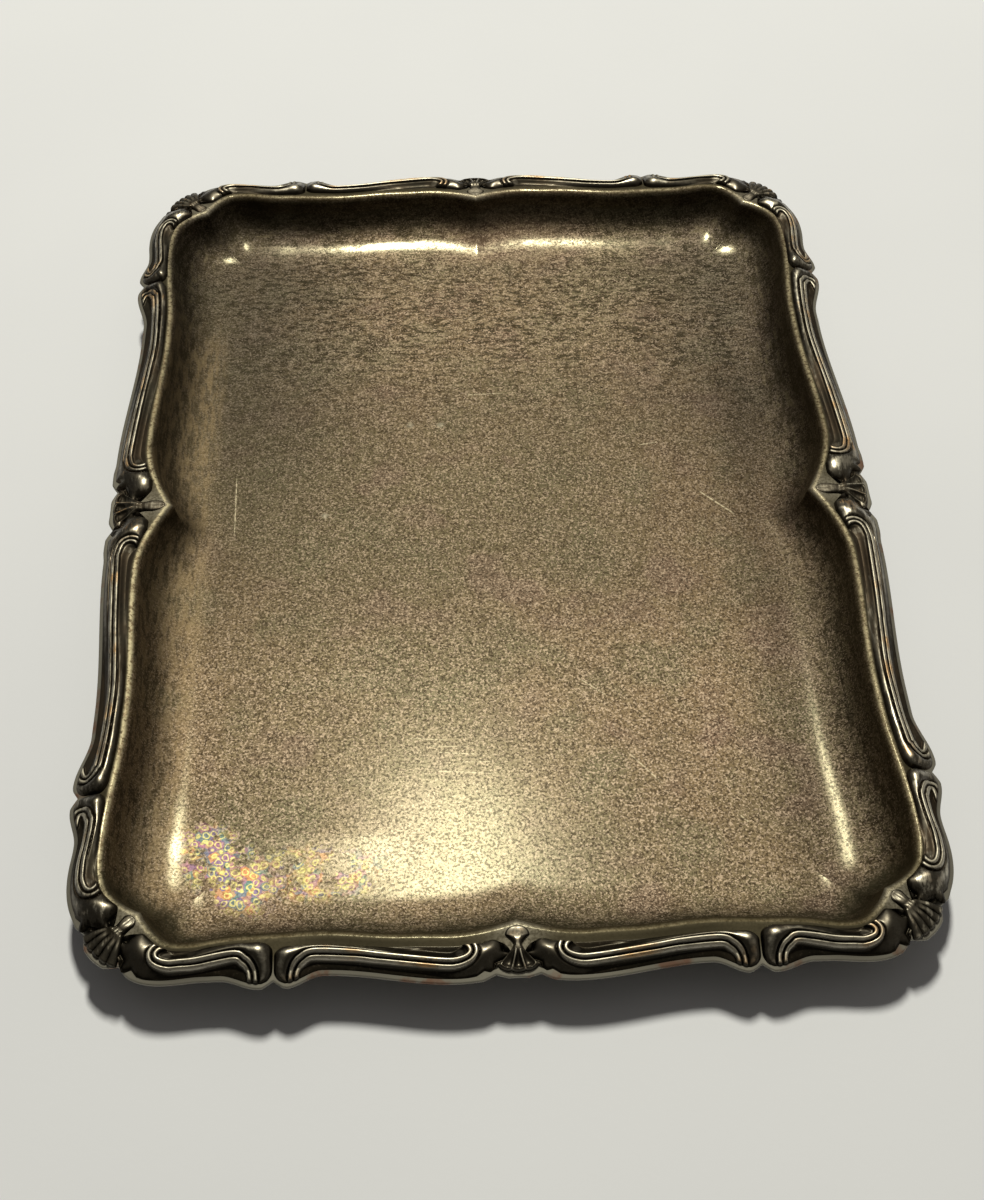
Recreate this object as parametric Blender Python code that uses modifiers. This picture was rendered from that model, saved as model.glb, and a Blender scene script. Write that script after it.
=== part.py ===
"""Dresser vanity tray: a pressed rectangular sheet-metal pan whose flange rises
inwards to a rounded lip, and a cast shell-and-scroll border soldered on top of
the flange in 24 lengths.

Units: dimensions below are millimetres, the scene is in metres.
Frame: origin at the middle of the underside, +Z up, X across the short way,
Y along the long way, the front end at -Y.
"""
import math

import bmesh
import bpy

MM = 0.001

# ---------------------------------------------------------------- dimensions
# Guide line of the border: a rounded rectangle about which the flange's outer
# edge, its inner edge and every casting are laid out (offset + is outwards).
GUIDE_HALF_W = 96.6
GUIDE_HALF_L = 135.2
GUIDE_R = 28.0

SHEET_T = 1.1            # sheet thickness of the pan
EDGE_Z = 11.5            # top of the flange at its outer edge, over the table
CREST_Z = 14.0           # top of the flange where the lip begins
FLOOR_TOP = SHEET_T      # top of the floor, the underside stands on the table
LIP_R = 2.0              # radius of the rounded inner lip
LIP_START = 0.8          # the rounding starts this far outside the inner line
LIP_TURN = 75            # degrees it turns before the wall goes on
SWEEP_SHARE = 0.48       # share of the wall's height in its long sweep
SWEEP_POWER = 2.6        # the sweep into the floor
STEEP_POWER = 11         # the steep part under the lip
FOOT_SIDE = -23.0        # foot of the wall, long sides
FOOT_END = -25.0         # foot of the wall, short ends
FOOT_SIDE_CUSP = 1.0     # extra reach of the foot under the side cusp
FOOT_END_CUSP = 3.3      # extra reach of the foot under the end cusp

CAST_GAP = 0.3           # solder line between a casting and the flange
JOINT_GAP = 0.25         # half the gap between two castings
OUTER_MARGIN = 1.1       # flange left bare outside the castings
SIDE_MARGINS = 1.4, 0.9  # flange left bare inside the long and corner scrolls
END_MARGINS = 2.9, 1.6   # the same on the short ends
CAST_EDGE_H = 0.40       # height of a casting at its outline
CAST_TOP_H = 2.1         # height of a casting along its reeds
BULB_H = 2.3             # height of the polished bulb beside a shell
REED_HALF_PITCH = 0.65   # half the spacing of the twin reeds
REED_DEPTH = 0.55        # depth of the groove between the reeds

# Stations along a half side, measured from the middle of the side.
SIDE_JOINT, SIDE_NOTCH = 90.6, 6.8       # scroll-to-scroll joint, shell notch
END_JOINT, END_NOTCH = 53.7, 5.0
SIDE_STRAIGHT = GUIDE_HALF_L - GUIDE_R
END_STRAIGHT = GUIDE_HALF_W - GUIDE_R
HALF_ARC = GUIDE_R * math.pi / 4
SIDE_DIAG = SIDE_STRAIGHT + HALF_ARC     # the corner, from the long side
END_DIAG = END_STRAIGHT + HALF_ARC       # the corner, from the short end
CORNER_NOTCH = 5.0                       # shell notch, from the diagonal

# Waves of the two edges: (station, offset), eased between stations.
SIDE_OUTER = ((0, 6.1), (13.5, 6.5), (18, 6.1), (66, 3.4), (73, 3.4), (87, 6.3),
              (94, 6.3), (103, 4.35), (119.5, 6.1), (SIDE_DIAG, 7.7))
END_OUTER = ((0, 4.85), (13.5, 5.95), (43, 2.75), (51, 5.55), (57, 5.55),
             (65.5, 3.35), (69, 3.4), (82, 6.4), (END_DIAG, 7.7))
SIDE_INNER = ((0, 3.3), (24, 3.3), (64, 5.2), (72, 5.1), (103, 2.85), (SIDE_DIAG, 2.7))
END_INNER = ((0, 4.0), (25, 5.1), (44, 6.5), (60, 6.0), (82, 3.2), (END_DIAG, 2.7))
# Notches of the outer edge and cusps of the inner one: (station, depth, reach, power)
SIDE_VEES = ((SIDE_NOTCH, 1.6, 3.2, 1.2), (SIDE_JOINT, 1.6, 2.8, 1.2),
             (SIDE_DIAG - CORNER_NOTCH, 1.5, 2.6, 1.2))
END_VEES = ((END_NOTCH, 1.0, 3.0, 1.2), (END_JOINT, 1.6, 2.6, 1.2),
            (END_DIAG - CORNER_NOTCH, 1.7, 2.6, 1.2))
SIDE_CUSP, END_CUSP = (6.9, 22.0, 1.7), (3.6, 16.0, 1.6)
CORNER_CUSP = (3.4, 12.5, 1.3)

STATION_STEP = 6.0       # coarsest spacing of the pan's sections


# ---------------------------------------------------------------- plan curves
def wave(stations, s):
    """Ease from one station's offset to the next."""
    for (s0, a), (s1, b) in zip(stations, stations[1:]):
        if s <= s1:
            k = min(1.0, max(0.0, (s - s0) / (s1 - s0)))
            return a + (b - a) * k * k * (3 - 2 * k)
    return stations[-1][1]


def vee(s, at, depth, reach, power):
    return depth * max(0.0, 1 - abs(s - at) / reach) ** power


def outer_offset(side, s):
    waves, vees = (SIDE_OUTER, SIDE_VEES) if side else (END_OUTER, END_VEES)
    return wave(waves, s) - sum(vee(s, *v) for v in vees)


def inner_offset(side, s):
    waves, cusp, diag = ((SIDE_INNER, SIDE_CUSP, SIDE_DIAG) if side
                         else (END_INNER, END_CUSP, END_DIAG))
    return -(wave(waves, s) + vee(s, 0, *cusp) + vee(s, diag, *CORNER_CUSP))


def foot_offset(side, s):
    base, cusp = (FOOT_SIDE, FOOT_SIDE_CUSP) if side else (FOOT_END, FOOT_END_CUSP)
    mid = 0.5 * (FOOT_SIDE + FOOT_END)
    diag = SIDE_DIAG if side else END_DIAG
    k = max(0.0, 1 - (diag - s) / 30)
    return base + (mid - base) * k * k - vee(s, 0, cusp, 26, 1.8)


def guide(side, s, t):
    """Point (x, y) of the first quarter at station s and offset t."""
    if side:
        straight, along = SIDE_STRAIGHT, s
        if along <= straight:
            return GUIDE_HALF_W + t, along
        a = (along - straight) / GUIDE_R
    else:
        straight, along = END_STRAIGHT, s
        if along <= straight:
            return along, GUIDE_HALF_L + t
        a = math.pi / 2 - (along - straight) / GUIDE_R
    r = GUIDE_R + t
    return (GUIDE_HALF_W - GUIDE_R + r * math.cos(a),
            GUIDE_HALF_L - GUIDE_R + r * math.sin(a))


def flange_top(side, s, t):
    """Height of the flange's top: a straight rise from the edge to the lip."""
    edge = wave(SIDE_OUTER if side else END_OUTER, s)
    crest = inner_offset(side, s) + LIP_START
    k = min(1.0, max(0.0, (edge - t) / (edge - crest)))
    return EDGE_Z + (CREST_Z - EDGE_Z) * k


# ---------------------------------------------------------------- scene helpers
def clear_scene():
    for ob in list(bpy.data.objects):
        bpy.data.objects.remove(ob, do_unlink=True)
    for coll in list(bpy.data.collections):
        bpy.data.collections.remove(coll)


def make_material(name, colour, roughness):
    mat = bpy.data.materials.new(name)
    mat.use_nodes = True
    bsdf = mat.node_tree.nodes["Principled BSDF"]
    bsdf.inputs["Base Color"].default_value = (*colour, 1)
    bsdf.inputs["Metallic"].default_value = 1.0
    bsdf.inputs["Roughness"].default_value = roughness
    return mat


def finish(bm, name, colour, roughness, collection, sharp=40):
    bmesh.ops.recalc_face_normals(bm, faces=bm.faces[:])
    if bm.calc_volume(signed=True) < 0:
        bmesh.ops.reverse_faces(bm, faces=bm.faces[:])
    mesh = bpy.data.meshes.new(name)
    bm.to_mesh(mesh)
    bm.free()
    mesh.shade_smooth()
    mesh.set_sharp_from_angle(angle=math.radians(sharp))
    mesh.materials.append(make_material(name + "_metal", colour, roughness))
    ob = bpy.data.objects.new(name, mesh)
    collection.objects.link(ob)
    return ob


# ---------------------------------------------------------------- the pan
def pan_stations(side):
    """Stations of one half side: each notch, cusp and joint, evened out."""
    diag = SIDE_DIAG if side else END_DIAG
    vees = SIDE_VEES if side else END_VEES
    keys = {0.0, 3.5, diag, diag - 6.0}
    for at, _, reach, _ in vees:
        keys |= {at, at - reach, at + reach}
    keys = sorted(k for k in keys if 0 <= k <= diag)
    out = []
    for a, b in zip(keys, keys[1:]):
        n = max(1, math.ceil((b - a) / STATION_STEP))
        out += [a + (b - a) * i / n for i in range(n)]
    return out + [diag]


def pan_section(side, s):
    """Top surface of the pan at one station, from the outer edge to the foot."""
    to, ti, tf = outer_offset(side, s), inner_offset(side, s), foot_offset(side, s)
    pts = [(to, flange_top(side, s, to)), (ti + LIP_START, CREST_Z)]
    for turn in (0.5 * LIP_TURN, LIP_TURN):
        a = math.radians(turn)
        pts.append((ti + LIP_START - LIP_R * math.sin(a), CREST_Z - LIP_R * (1 - math.cos(a))))
    top, z_top = pts[-1]
    depth = z_top - FLOOR_TOP
    for k in (0.07, 0.2, 0.42, 0.7, 1.0):
        u = 1 - k
        rise = SWEEP_SHARE * u ** SWEEP_POWER + (1 - SWEEP_SHARE) * u ** STEEP_POWER
        pts.append((top + (tf - top) * k, FLOOR_TOP + depth * rise))
    return pts


def build_pan(collection):
    """Open top surface, one ring of stations after another, then Solidify."""
    quarter = [(True, s) for s in pan_stations(True)]
    quarter += [(False, s) for s in reversed(pan_stations(False))][1:]
    columns = []
    for sx, sy, order in ((1, 1, 1), (-1, 1, -1), (-1, -1, 1), (1, -1, -1)):
        row = quarter if order == 1 else list(reversed(quarter))
        for side, s in row[:-1]:
            columns.append([(sx * x, sy * y, z)
                            for t, z in pan_section(side, s)
                            for x, y in (guide(side, s, t),)])
    bm = bmesh.new()
    verts = [[bm.verts.new((x * MM, y * MM, z * MM)) for x, y, z in col] for col in columns]
    n = len(verts)
    for i in range(n):
        a, b = verts[i], verts[(i + 1) % n]
        for j in range(len(a) - 1):
            bm.faces.new((a[j], b[j], b[j + 1], a[j + 1]))
    bm.faces.new([col[-1] for col in verts])
    bmesh.ops.recalc_face_normals(bm, faces=bm.faces[:])
    floor = max(bm.faces, key=lambda f: f.calc_area())
    if floor.normal.z < 0:
        bmesh.ops.reverse_faces(bm, faces=bm.faces[:])
    mesh = bpy.data.meshes.new("tray_pan")
    bm.to_mesh(mesh)
    bm.free()
    mesh.shade_smooth()
    mesh.set_sharp_from_angle(angle=math.radians(50))
    mesh.materials.append(make_material("tray_pan_metal", (0.36, 0.32, 0.25), 0.38))
    ob = bpy.data.objects.new("tray_pan", mesh)
    collection.objects.link(ob)
    solid = ob.modifiers.new("sheet", 'SOLIDIFY')
    solid.thickness = SHEET_T * MM
    solid.offset = -1.0
    solid.use_even_offset = True
    solid.use_rim = True
    return ob


# ---------------------------------------------------------------- castings
def loft(sections):
    """Closed body through sections of equal point count, fan-capped."""
    bm = bmesh.new()
    rings = [[bm.verts.new((x * MM, y * MM, z * MM)) for x, y, z in sec] for sec in sections]
    m = len(rings[0])
    for a, b in zip(rings, rings[1:]):
        for j in range(m):
            k = (j + 1) % m
            bm.faces.new((a[j], a[k], b[k], b[j]))
    for ring in (rings[0], rings[-1]):
        c = [sum(v.co[i] for v in ring) / m for i in range(3)]
        centre = bm.verts.new(c)
        for j in range(m):
            bm.faces.new((ring[j], ring[(j + 1) % m], centre))
    return bm


def shell_edge(w, notch):
    """Where a scroll stops beside a shell (station), at fraction w across:
    a rounded inner end, closest at the neck, then following the fan outwards."""
    neck, inner = 1.9, 3.6
    if w < 0.3:
        return neck + (inner - neck) * (1 - w / 0.3) ** 2
    k = (w - 0.3) / 0.7
    return neck + (notch - neck) * k ** 1.6


def scroll_section(side, joint, toward, u):
    """One section of a scroll, u = 0 at its joint and 1 beside its shell.

    The twin reeds run as an S: over the inner flank by the joint, over the
    outer one by the shell. On the inner side of them a roll thins into a
    hollow, on the outer side a hollow swells into the roll and its bulb."""
    diag = SIDE_DIAG if side else END_DIAG
    if toward > 0:                       # a corner scroll: its shell is at the corner
        end_at = lambda w: diag - shell_edge(w, CORNER_NOTCH)
        length = diag - CORNER_NOTCH - joint
    else:                                # a long scroll: its shell is mid-side
        notch = SIDE_NOTCH if side else END_NOTCH
        end_at = lambda w: shell_edge(w, notch)
        length = joint - notch
    start = joint + toward * JOINT_GAP

    def station(w):
        far = end_at(w) - toward * 2 * JOINT_GAP
        mean = end_at(0.5) - toward * 2 * JOINT_GAP
        skew = max(0.0, 1 - (1 - u) * length / 9.0)      # only the last 9 mm lean
        return start + (mean - start) * u + (far - mean) * skew

    d0, d1 = u * length, (1 - u) * length                 # distance from the two ends
    round0 = math.sqrt(max(0.0, 1 - max(0.0, 1 - d0 / 3.6) ** 2))
    round1 = math.sqrt(max(0.0, 1 - max(0.0, 1 - d1 / 3.0) ** 2))
    pinch = 0.30 + 0.70 * min(round0, round1)
    swell = 0.55 + 0.45 * min(round0, round1)

    s_mid = station(0.5)
    margins = SIDE_MARGINS if side else END_MARGINS
    lo = inner_offset(side, s_mid) + margins[1 if toward > 0 else 0]
    hi = outer_offset(side, s_mid) - OUTER_MARGIN
    # the notch of the flange only pinches the casting softly
    mid = 0.5 * (lo + hi)
    half = 0.5 * (hi - lo) * pinch
    mid_w = 0.62 if d1 < 4 else 0.5
    mid = lo + (hi - lo) * (0.5 + (mid_w - 0.5) * max(0.0, 1 - d1 / 4.0))
    lo, hi = max(lo, mid - half), min(hi, mid + half)

    reed = 0.34 + 0.30 * u
    reed += 0.10 * max(0.0, 1 - d0 / 6.0) - 0.22 * max(0.0, 1 - d1 / 7.0)
    dw = REED_HALF_PITCH / max(hi - lo, 2.0)
    top = CAST_TOP_H + (BULB_H - CAST_TOP_H) * max(0.0, 1 - d1 / 7.0)
    inner_roll = top * (0.80 - 0.36 * u) + 0.5 * max(0.0, 1 - d1 / 6.0)
    outer_roll = top * (0.42 + 0.42 * u)
    profile = [(0.0, CAST_EDGE_H), (0.5 * (reed - dw), inner_roll), (reed - dw, top),
               (reed, top - REED_DEPTH), (reed + dw, top * 0.88),
               (0.5 * (1 + reed + dw), outer_roll), (1.0, CAST_EDGE_H)]
    pts = []
    for w, h in [(0.0, 0.0)] + profile + [(1.0, 0.0)]:
        t = lo + (hi - lo) * w
        base = flange_top(side, station(w), t) + CAST_GAP
        z = base + (CAST_EDGE_H + (h - CAST_EDGE_H) * swell if h > 0 else 0.0)
        x, y = guide(side, station(w), t)
        pts.append((x, y, z))
    return pts


def scroll(name, side, corner, sx, sy, colour, collection):
    joint = SIDE_JOINT if side else END_JOINT
    toward = 1 if corner else -1
    diag = SIDE_DIAG if side else END_DIAG
    length = (diag - CORNER_NOTCH - joint) if corner else joint - (SIDE_NOTCH if side else END_NOTCH)
    ends = (0.0, 0.8, 2.2, 4.2, 7.0)
    us = [d / length for d in ends] + [1 - d / length for d in (7.5, 4.4, 2.2, 0.8, 0.0)]
    inner = length - 14.5
    n = max(1, round(inner / 12.0))
    us += [(7.0 + inner * i / n) / length for i in range(1, n)]
    sections = [[(sx * x, sy * y, z) for x, y, z in scroll_section(side, joint, toward, u)]
                for u in sorted(us)]
    return finish(loft(sections), name, colour, 0.3, collection)


def shell_section(k, reach_in, reach_out, half_neck, half_lip, lobes, place):
    """Section of a fan, k = 0 at the neck and 1 at the scalloped lip."""
    t = reach_in + (reach_out - reach_in) * k
    half = half_neck + (half_lip - half_neck) * k ** 1.5
    if k > 0.8:
        half *= math.sqrt(max(0.0, 1 - ((k - 0.8) / 0.2) ** 2 * 0.45))
    dome = 2.2 - 0.8 * k ** 1.4 if k > 0.15 else 1.5
    pts = [place(-half, t, 0.0)]
    n = 2 * lobes
    for i in range(n + 1):
        f = -1 + 2 * i / n
        edge = 1 - 0.45 * abs(f) ** 3
        flute = 0.0 if i % 2 == 0 else 0.75 * min(1.0, 2.2 * k)
        pts.append(place(half * f, t, max(0.40, dome * edge - flute)))
    pts.append(place(half, t, 0.0))
    return pts


def side_shell(name, side, sign, colour, collection):
    notch = SIDE_NOTCH if side else END_NOTCH
    reach_in = inner_offset(side, 0.0) + (4.4 if side else 3.9)
    reach_out = outer_offset(side, 0.0) - OUTER_MARGIN

    def place(ds, t, h):
        z = flange_top(side, abs(ds), t) + CAST_GAP + h
        if side:
            return sign * (GUIDE_HALF_W + t), ds, z
        return ds, sign * (GUIDE_HALF_L + t), z

    sections = [shell_section(k, reach_in, reach_out, 1.15, notch - 0.9, 3, place)
                for k in (0, 0.18, 0.4, 0.62, 0.82, 1.0)]
    return finish(loft(sections), name, colour, 0.3, collection)


def corner_shell(name, sx, sy, colour, collection):
    reach_in = inner_offset(True, SIDE_DIAG) + 2.9
    reach_out = outer_offset(True, SIDE_DIAG) - OUTER_MARGIN
    cx, cy = GUIDE_HALF_W - GUIDE_R, GUIDE_HALF_L - GUIDE_R
    h = math.sqrt(0.5)

    def place(ds, t, rise):
        r = GUIDE_R + t
        z = flange_top(True, SIDE_DIAG - abs(ds), t) + CAST_GAP + rise
        return sx * (cx + h * r - h * ds), sy * (cy + h * r + h * ds), z

    sections = [shell_section(k, reach_in, reach_out, 1.15, 4.9, 5, place)
                for k in (0, 0.18, 0.4, 0.62, 0.82, 1.0)]
    return finish(loft(sections), name, colour, 0.3, collection)


# ---------------------------------------------------------------- assembly
def main():
    clear_scene()
    tray = bpy.data.collections.new("dresser_vanity_tray")
    bpy.context.scene.collection.children.link(tray)

    build_pan(tray)
    bright, dark = (0.42, 0.38, 0.31), (0.30, 0.28, 0.25)
    lengthwise, crosswise = {-1: "left", 1: "right"}, {-1: "front", 1: "back"}
    for sgn in (-1, 1):
        side_shell("side_shell_" + lengthwise[sgn], True, sgn, bright, tray)
        side_shell("side_shell_" + crosswise[sgn], False, sgn, bright, tray)
    for sx in (-1, 1):
        for sy in (-1, 1):
            lr, fb = lengthwise[sx], crosswise[sy]
            corner_shell("corner_shell_%s_%s" % (fb, lr), sx, sy, bright, tray)
            scroll("long_scroll_%s_%s" % (lr, fb), True, False, sx, sy, dark, tray)
            scroll("end_scroll_%s_%s" % (fb, lr), False, False, sx, sy, dark, tray)
            scroll("corner_scroll_%s_%s" % (lr, fb), True, True, sx, sy, dark, tray)
            scroll("corner_scroll_%s_%s" % (fb, lr), False, True, sx, sy, dark, tray)


main()
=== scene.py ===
"""Looks of the dresser vanity tray: fine meshes of the pressed pan and its cast
shell-and-scroll border, tarnished silver plate, a pale table and soft light."""
import math

import bpy
import numpy as np
from mathutils import Matrix, Vector


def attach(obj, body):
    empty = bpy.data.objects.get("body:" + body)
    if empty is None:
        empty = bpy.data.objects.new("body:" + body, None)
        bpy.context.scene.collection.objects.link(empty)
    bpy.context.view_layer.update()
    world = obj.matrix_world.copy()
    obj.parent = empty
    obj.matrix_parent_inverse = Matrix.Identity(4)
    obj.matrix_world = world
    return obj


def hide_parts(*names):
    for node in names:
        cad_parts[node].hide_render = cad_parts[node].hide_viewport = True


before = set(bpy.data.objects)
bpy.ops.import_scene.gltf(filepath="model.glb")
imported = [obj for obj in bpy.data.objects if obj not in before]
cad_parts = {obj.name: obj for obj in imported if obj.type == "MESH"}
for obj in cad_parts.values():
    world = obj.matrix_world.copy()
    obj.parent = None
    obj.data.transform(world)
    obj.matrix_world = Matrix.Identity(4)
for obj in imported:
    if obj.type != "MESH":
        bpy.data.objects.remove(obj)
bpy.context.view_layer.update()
MM = 0.001

# ------------------------------------------------------------------ dimensions
# (millimetres; the same design values as the frame's)
GUIDE_HALF_W, GUIDE_HALF_L, GUIDE_R = 96.6, 135.2, 28.0
SHEET_T = 1.1
EDGE_Z, CREST_Z = 11.5, 14.0             # flange height at its edge and at the lip
FLOOR_TOP = SHEET_T
LIP_R, LIP_START, LIP_TURN = 2.0, 0.8, 75.0
SWEEP_SHARE, SWEEP_POWER, STEEP_POWER = 0.48, 2.6, 11.0
FOOT_LEFT, FOOT_RIGHT, FOOT_BACK, FOOT_FRONT = -23.0, -24.6, -26.2, -23.8
FOOT_CORNER = -3.0
FOOT_SIDE_CUSP, FOOT_END_CUSP = 1.0, 3.3
OUTER_MARGIN = 1.0
SIDE_MARGINS, END_MARGINS = (1.3, 0.8), (2.8, 1.5)

SIDE_JOINT, SIDE_NOTCH = 90.6, 6.8
END_JOINT, END_NOTCH = 53.7, 5.0
SIDE_STRAIGHT = GUIDE_HALF_L - GUIDE_R
END_STRAIGHT = GUIDE_HALF_W - GUIDE_R
HALF_ARC = GUIDE_R * math.pi / 4
SIDE_DIAG, END_DIAG = SIDE_STRAIGHT + HALF_ARC, END_STRAIGHT + HALF_ARC
CORNER_NOTCH = 5.0

SIDE_OUTER = ((0, 6.1), (13.5, 6.5), (18, 6.1), (66, 3.4), (73, 3.4), (87, 6.3),
              (94, 6.3), (103, 4.35), (119.5, 6.1), (SIDE_DIAG, 7.7))
END_OUTER = ((0, 4.85), (13.5, 5.95), (43, 2.75), (51, 5.55), (57, 5.55),
             (65.5, 3.35), (69, 3.4), (82, 6.4), (END_DIAG, 7.7))
SIDE_INNER = ((0, 3.3), (24, 3.3), (64, 5.2), (72, 5.1), (103, 2.85), (SIDE_DIAG, 2.7))
END_INNER = ((0, 4.0), (25, 5.1), (44, 6.5), (60, 6.0), (82, 3.2), (END_DIAG, 2.7))
SIDE_VEES = ((SIDE_NOTCH, 1.6, 3.2, 1.2), (SIDE_JOINT, 1.6, 2.8, 1.2),
             (SIDE_DIAG - CORNER_NOTCH, 1.5, 2.6, 1.2))
END_VEES = ((END_NOTCH, 1.0, 3.0, 1.2), (END_JOINT, 1.6, 2.6, 1.2),
            (END_DIAG - CORNER_NOTCH, 1.7, 2.6, 1.2))
SIDE_CUSP, END_CUSP = (6.9, 22.0, 1.7), (3.6, 16.0, 1.6)
CORNER_CUSP = (3.4, 12.5, 1.3)


# ------------------------------------------------------------------ plan curves
def smooth(k):
    k = np.clip(k, 0.0, 1.0)
    return k * k * (3 - 2 * k)


def wave(stations, s):
    out = np.full_like(s, float(stations[0][1]))
    for (s0, a), (s1, b) in zip(stations, stations[1:]):
        out = np.where(s > s0, a + (b - a) * smooth((s - s0) / (s1 - s0)), out)
    return out


def vee(s, at, depth, reach, power):
    return depth * np.clip(1 - np.abs(s - at) / reach, 0.0, None) ** power


def outer_offset(side, s):
    s = np.asarray(s, float)
    waves, vees = (SIDE_OUTER, SIDE_VEES) if side else (END_OUTER, END_VEES)
    return wave(waves, s) - sum(vee(s, *v) for v in vees)


def inner_offset(side, s):
    s = np.asarray(s, float)
    waves, cusp, diag = ((SIDE_INNER, SIDE_CUSP, SIDE_DIAG) if side
                         else (END_INNER, END_CUSP, END_DIAG))
    return -(wave(waves, s) + vee(s, 0, *cusp) + vee(s, diag, *CORNER_CUSP))


def foot_offset(side, s, foot_side, foot_end):
    s = np.asarray(s, float)
    base, cusp = (foot_side, FOOT_SIDE_CUSP) if side else (foot_end, FOOT_END_CUSP)
    mid = 0.5 * (foot_side + foot_end) + FOOT_CORNER
    diag = SIDE_DIAG if side else END_DIAG
    k = np.clip(1 - (diag - s) / 36, 0.0, None)
    return base + (mid - base) * k * k - vee(s, 0, cusp, 26, 1.8)


def guide(side, s, t):
    """(x, y) of the first quarter at stations s and offsets t (arrays, mm)."""
    s, t = np.broadcast_arrays(np.asarray(s, float), np.asarray(t, float))
    straight = SIDE_STRAIGHT if side else END_STRAIGHT
    a = np.clip(s - straight, 0, None) / GUIDE_R
    along = np.minimum(s, straight)
    r = GUIDE_R + t
    if side:
        return (GUIDE_HALF_W - GUIDE_R + r * np.cos(a), along + r * np.sin(a))
    return (along + r * np.sin(a), GUIDE_HALF_L - GUIDE_R + r * np.cos(a))


def flange_top(side, s, t):
    edge = wave(SIDE_OUTER if side else END_OUTER, np.asarray(s, float))
    crest = inner_offset(side, s) + LIP_START
    return EDGE_Z + (CREST_Z - EDGE_Z) * np.clip((edge - t) / (edge - crest), 0, 1)


# ------------------------------------------------------------------ mesh helpers
def mesh_object(name, co_mm, faces, attrs=None, sharp=None):
    mesh = bpy.data.meshes.new(name)
    co = np.asarray(co_mm, float) * MM
    mesh.vertices.add(len(co))
    mesh.vertices.foreach_set("co", co.astype(np.float32).ravel())
    sizes = np.array([len(f) for f in faces], np.int32)
    loops = np.concatenate([np.asarray(f, np.int32) for f in faces])
    mesh.loops.add(int(sizes.sum()))
    mesh.loops.foreach_set("vertex_index", loops)
    mesh.polygons.add(len(sizes))
    mesh.polygons.foreach_set("loop_start", np.concatenate([[0], np.cumsum(sizes)[:-1]]).astype(np.int32))
    mesh.polygons.foreach_set("loop_total", sizes)
    mesh.update(calc_edges=True)
    mesh.validate()
    for key, values in (attrs or {}).items():
        at = mesh.attributes.new(key, 'FLOAT', 'POINT')
        at.data.foreach_set("value", np.asarray(values, np.float32))
    mesh.shade_smooth()
    if sharp:
        mesh.set_sharp_from_angle(angle=math.radians(sharp))
    ob = bpy.data.objects.new(name, mesh)
    bpy.context.scene.collection.objects.link(ob)
    return ob


def grid_faces(rows, cols, flip=False, start=0):
    i, j = np.meshgrid(np.arange(rows - 1), np.arange(cols - 1), indexing="ij")
    a = (start + i * cols + j).ravel()
    quad = np.stack([a, a + cols, a + cols + 1, a + 1], 1)
    return quad[:, ::-1] if flip else quad


def catmull(points, n):
    """Even-ish samples of a smooth curve through points."""
    p = np.asarray(points, float)
    p = np.vstack([2 * p[0] - p[1], p, 2 * p[-1] - p[-2]])
    out = []
    for i in range(1, len(p) - 2):
        t = np.linspace(0, 1, n, endpoint=False)[:, None]
        a, b, c, d = p[i - 1], p[i], p[i + 1], p[i + 2]
        out.append(0.5 * (2 * b + (c - a) * t + (2 * a - 5 * b + 4 * c - d) * t ** 2
                          + (3 * b - a - 3 * c + d) * t ** 3))
    return np.vstack(out + [p[-2][None, :]])


def polyline_distance(px, py, line, block=4096):
    """Distance of each point to a polyline, with +1 on its left and -1 on its right,
    and how far along the line (0..1) the nearest point lies."""
    a, b = line[:-1], line[1:]
    d = b - a
    n2 = np.maximum((d ** 2).sum(1), 1e-12)
    dist, sign, along = np.empty(len(px)), np.empty(len(px)), np.empty(len(px))
    for k in range(0, len(px), block):
        x, y = px[k:k + block, None], py[k:k + block, None]
        u = np.clip(((x - a[:, 0]) * d[:, 0] + (y - a[:, 1]) * d[:, 1]) / n2, 0, 1)
        ex, ey = x - a[:, 0] - u * d[:, 0], y - a[:, 1] - u * d[:, 1]
        q = ex * ex + ey * ey
        m = q.argmin(1)
        r = np.arange(len(m))
        dist[k:k + block] = np.sqrt(q[r, m])
        cross = d[m, 0] * ey[r, m] - d[m, 1] * ex[r, m]
        sign[k:k + block] = np.where(cross >= 0, 1.0, -1.0)
        along[k:k + block] = (m + u[r, m]) / len(a)
    return dist, sign, along


def quarter_copies(name_of, co, top_count, faces, attrs):
    """Four mirrored copies of a quarter's casting, each replacing its CAD node."""
    made = []
    for sx in (-1, 1):
        for sy in (-1, 1):
            c = co * np.array([sx, sy, 1.0])
            f = [q[::-1] if sx * sy < 0 else q for q in faces]
            made.append(casting(name_of(sx, sy), c, f, attrs))
    return made


def casting(node, co, faces, attrs):
    ob = mesh_object(node + "_cast", co, faces, attrs, sharp=70)
    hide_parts(node)
    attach(ob, "root")
    castings.append(ob)
    return ob


castings = []
SOLE = -0.12          # castings sink this far into the solder on the flange


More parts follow.
